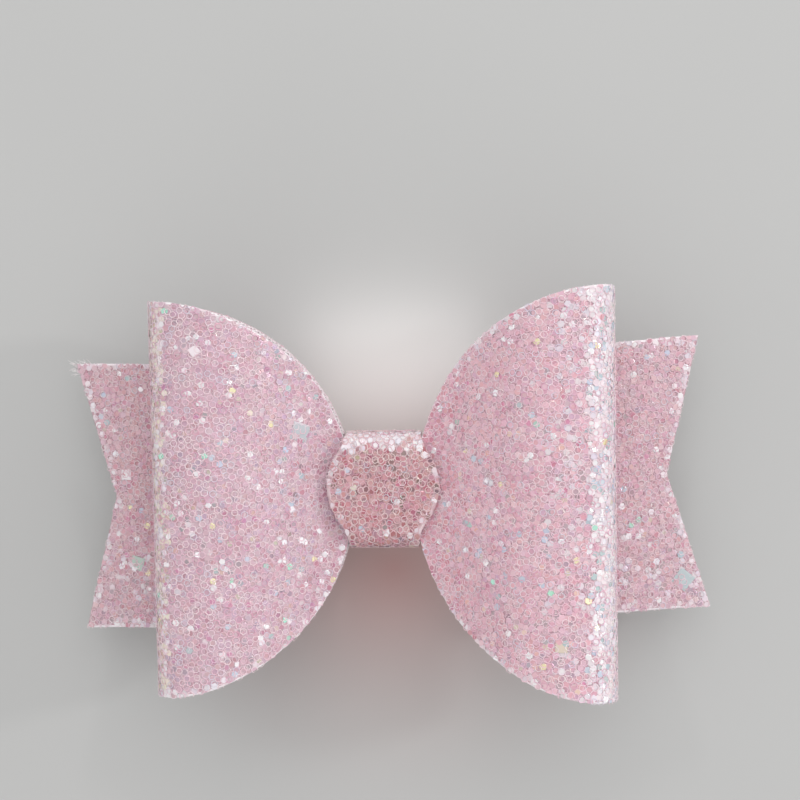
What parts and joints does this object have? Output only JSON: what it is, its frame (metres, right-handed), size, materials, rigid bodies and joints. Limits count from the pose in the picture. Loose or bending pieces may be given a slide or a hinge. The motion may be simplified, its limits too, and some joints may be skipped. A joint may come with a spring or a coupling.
{
  "type": "hair bow",
  "caption": "Folded glitter-sheet hair bow with notched tails and a wrapped knot on a sprung alligator clip.",
  "frame": {"origin": "bottom centre of the bounding box, with the bow lying face up on the end of its clip's lever", "axes": "+X along the bow's width towards the clip's nose, +Y up the bow's height, +Z out of the bow's face"},
  "size_m": [0.0912, 0.0564, 0.0242],
  "materials": {
    "glitter_face": "pale pink resin set with iridescent hexagonal flakes",
    "canvas_backing": "off-white woven cotton backing",
    "ribbon": "pale pink ribbed grosgrain",
    "clip_steel": "nickel-plated spring steel",
    "spring_wire": "bright drawn wire",
    "hot_glue": "cloudy clear hot-melt glue"
  },
  "bodies": {
    "bow": {"loop_glitter_face": "glitter_face", "loop_canvas_backing": "canvas_backing", "tail_glitter_face": "glitter_face", "tail_canvas_backing": "canvas_backing", "knot_glitter_face": "glitter_face", "knot_canvas_backing": "canvas_backing", "clip_upper_arm": "clip_steel", "clip_hinge_pin": "clip_steel", "clip_torsion_spring": "spring_wire", "clip_ribbon_lining": "ribbon", "clip_glue": "hot_glue", "tail_glue": "hot_glue", "loop_end_glue": "hot_glue", "neck_glue": "hot_glue", "knot_glue": "hot_glue", "wrap_end_glue": "hot_glue"},
    "clip_jaw": {"clip_lower_arm": "clip_steel"}
  },
  "joints": [
    {"name": "jaw_hinge", "type": "hinge", "parent": "bow", "child": "clip_jaw", "pos_m": [-0.009, 0.0008, 0.0066], "axis": [0, 1, 0], "range_deg": [0, 30], "stiffness_Nm_per_rad": 0.02, "springref_deg": -57.3, "deforming": ["clip_torsion_spring"]}
  ]
}
